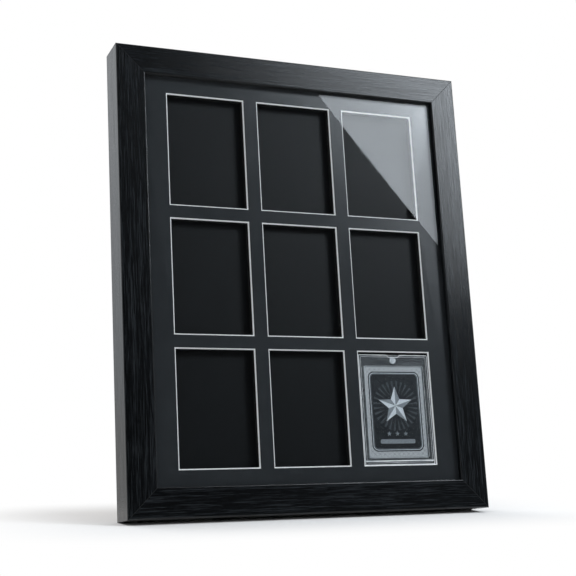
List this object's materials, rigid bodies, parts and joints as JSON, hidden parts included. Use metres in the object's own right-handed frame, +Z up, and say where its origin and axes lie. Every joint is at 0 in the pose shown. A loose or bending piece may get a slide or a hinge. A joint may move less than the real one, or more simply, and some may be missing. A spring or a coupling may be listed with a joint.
{
  "type": "trading card display case",
  "caption": "Black mitred box frame with a clear pane and bevelled mat windows over foam pockets for cards in magnetic holders, with an easel strut, wall rings and turn buttons.",
  "frame": {"origin": "middle of the footprint on the surface that the frame stands on: under the rails' rear lower edge and the strut's foot", "axes": "+Z up, +X to the right seen from the front, +Y from the front to the back; the frame leans back by 8 degrees"},
  "size_m": [0.366, 0.1228, 0.4484],
  "materials": {
    "black_rail": "black wood-grain foil, satin",
    "nail_steel": "bare steel strip",
    "clear_pane": "clear acrylic sheet",
    "mat_face": "dark charcoal mat paper",
    "mat_white_core": "white mat core",
    "pocket_foam": "black closed-cell foam",
    "black_felt": "short black felt",
    "backing_foam": "dark grey foam",
    "back_fibreboard": "plain hardboard",
    "zinc_steel": "zinc plated steel",
    "brassed_steel": "brass plated steel",
    "bumper_rubber": "black rubber",
    "nickel_steel": "nickel plated steel",
    "strut_paper": "fibreboard covered in black paper",
    "clear_holder": "clear polystyrene",
    "magnet_nickel": "nickel plated magnet",
    "card_print": "printed coated board in silver and dark greys"
  },
  "bodies": {
    "frame": {"rail_top": "black_rail", "rail_bottom": "black_rail", "rail_left": "black_rail", "rail_right": "black_rail", "corner_nails": "nail_steel", "pane": "clear_pane", "mat_paper": "mat_face", "mat_core": "mat_white_core", "pocket_sheet": "pocket_foam", "pocket_felt": "black_felt", "backing_foam": "backing_foam", "back_board": "back_fibreboard", "button_screws": "zinc_steel", "hanger_strap_left": "brassed_steel", "hanger_strap_right": "brassed_steel", "hanger_screws": "zinc_steel", "wall_bumpers": "bumper_rubber", "hinge_base_leaf": "nickel_steel", "hinge_pin": "nickel_steel", "base_rivets": "nickel_steel", "holder_base": "clear_holder", "holder_lid": "clear_holder", "base_magnet": "magnet_nickel", "lid_magnet": "magnet_nickel", "card": "card_print"},
    "strut": {"hinge_strut_leaf": "nickel_steel", "strut_rivets": "nickel_steel", "easel_strut": "strut_paper"},
    "button_bottom_left": {"button_bottom_left": "zinc_steel"},
    "button_bottom_right": {"button_bottom_right": "zinc_steel"},
    "button_top_left": {"button_top_left": "zinc_steel"},
    "button_top_right": {"button_top_right": "zinc_steel"},
    "button_left_lower": {"button_left_lower": "zinc_steel"},
    "button_left_upper": {"button_left_upper": "zinc_steel"},
    "button_right_lower": {"button_right_lower": "zinc_steel"},
    "button_right_upper": {"button_right_upper": "zinc_steel"},
    "ring_left": {"hanger_ring_left": "brassed_steel"},
    "ring_right": {"hanger_ring_right": "brassed_steel"}
  },
  "joints": [
    {"name": "strut_fold", "type": "hinge", "parent": "frame", "child": "strut", "pos_m": [0, 0.01814, 0.29668], "axis": [1, 0, 0], "range_deg": [-16, 0]},
    {"name": "turn_bottom_left", "type": "hinge", "parent": "frame", "child": "button_bottom_left", "pos_m": [-0.1, -0.02394, 0.01278], "axis": [0, 0.9903, -0.1392], "continuous": true},
    {"name": "turn_bottom_right", "type": "hinge", "parent": "frame", "child": "button_bottom_right", "pos_m": [0.1, -0.02394, 0.01278], "axis": [0, 0.9903, -0.1392], "continuous": true},
    {"name": "turn_top_left", "type": "hinge", "parent": "frame", "child": "button_top_left", "pos_m": [-0.1, 0.0348, 0.43067], "axis": [0, 0.9903, -0.1392], "continuous": true},
    {"name": "turn_top_right", "type": "hinge", "parent": "frame", "child": "button_top_right", "pos_m": [0.1, 0.0348, 0.43067], "axis": [0, 0.9903, -0.1392], "continuous": true},
    {"name": "turn_left_lower", "type": "hinge", "parent": "frame", "child": "button_left_lower", "pos_m": [-0.17, -0.00709, 0.1326], "axis": [0, 0.9903, -0.1392], "continuous": true},
    {"name": "turn_left_upper", "type": "hinge", "parent": "frame", "child": "button_left_upper", "pos_m": [-0.17, 0.01796, 0.31085], "axis": [0, 0.9903, -0.1392], "continuous": true},
    {"name": "turn_right_lower", "type": "hinge", "parent": "frame", "child": "button_right_lower", "pos_m": [0.17, -0.00709, 0.1326], "axis": [0, 0.9903, -0.1392], "continuous": true},
    {"name": "turn_right_upper", "type": "hinge", "parent": "frame", "child": "button_right_upper", "pos_m": [0.17, 0.01796, 0.31085], "axis": [0, 0.9903, -0.1392], "continuous": true},
    {"name": "ring_swing_left", "type": "hinge", "parent": "frame", "child": "ring_left", "pos_m": [-0.1725, 0.02699, 0.36461], "axis": [1, 0, 0], "range_deg": [-7, 171]},
    {"name": "ring_swing_right", "type": "hinge", "parent": "frame", "child": "ring_right", "pos_m": [0.1725, 0.02699, 0.36461], "axis": [1, 0, 0], "range_deg": [-7, 171]}
  ]
}
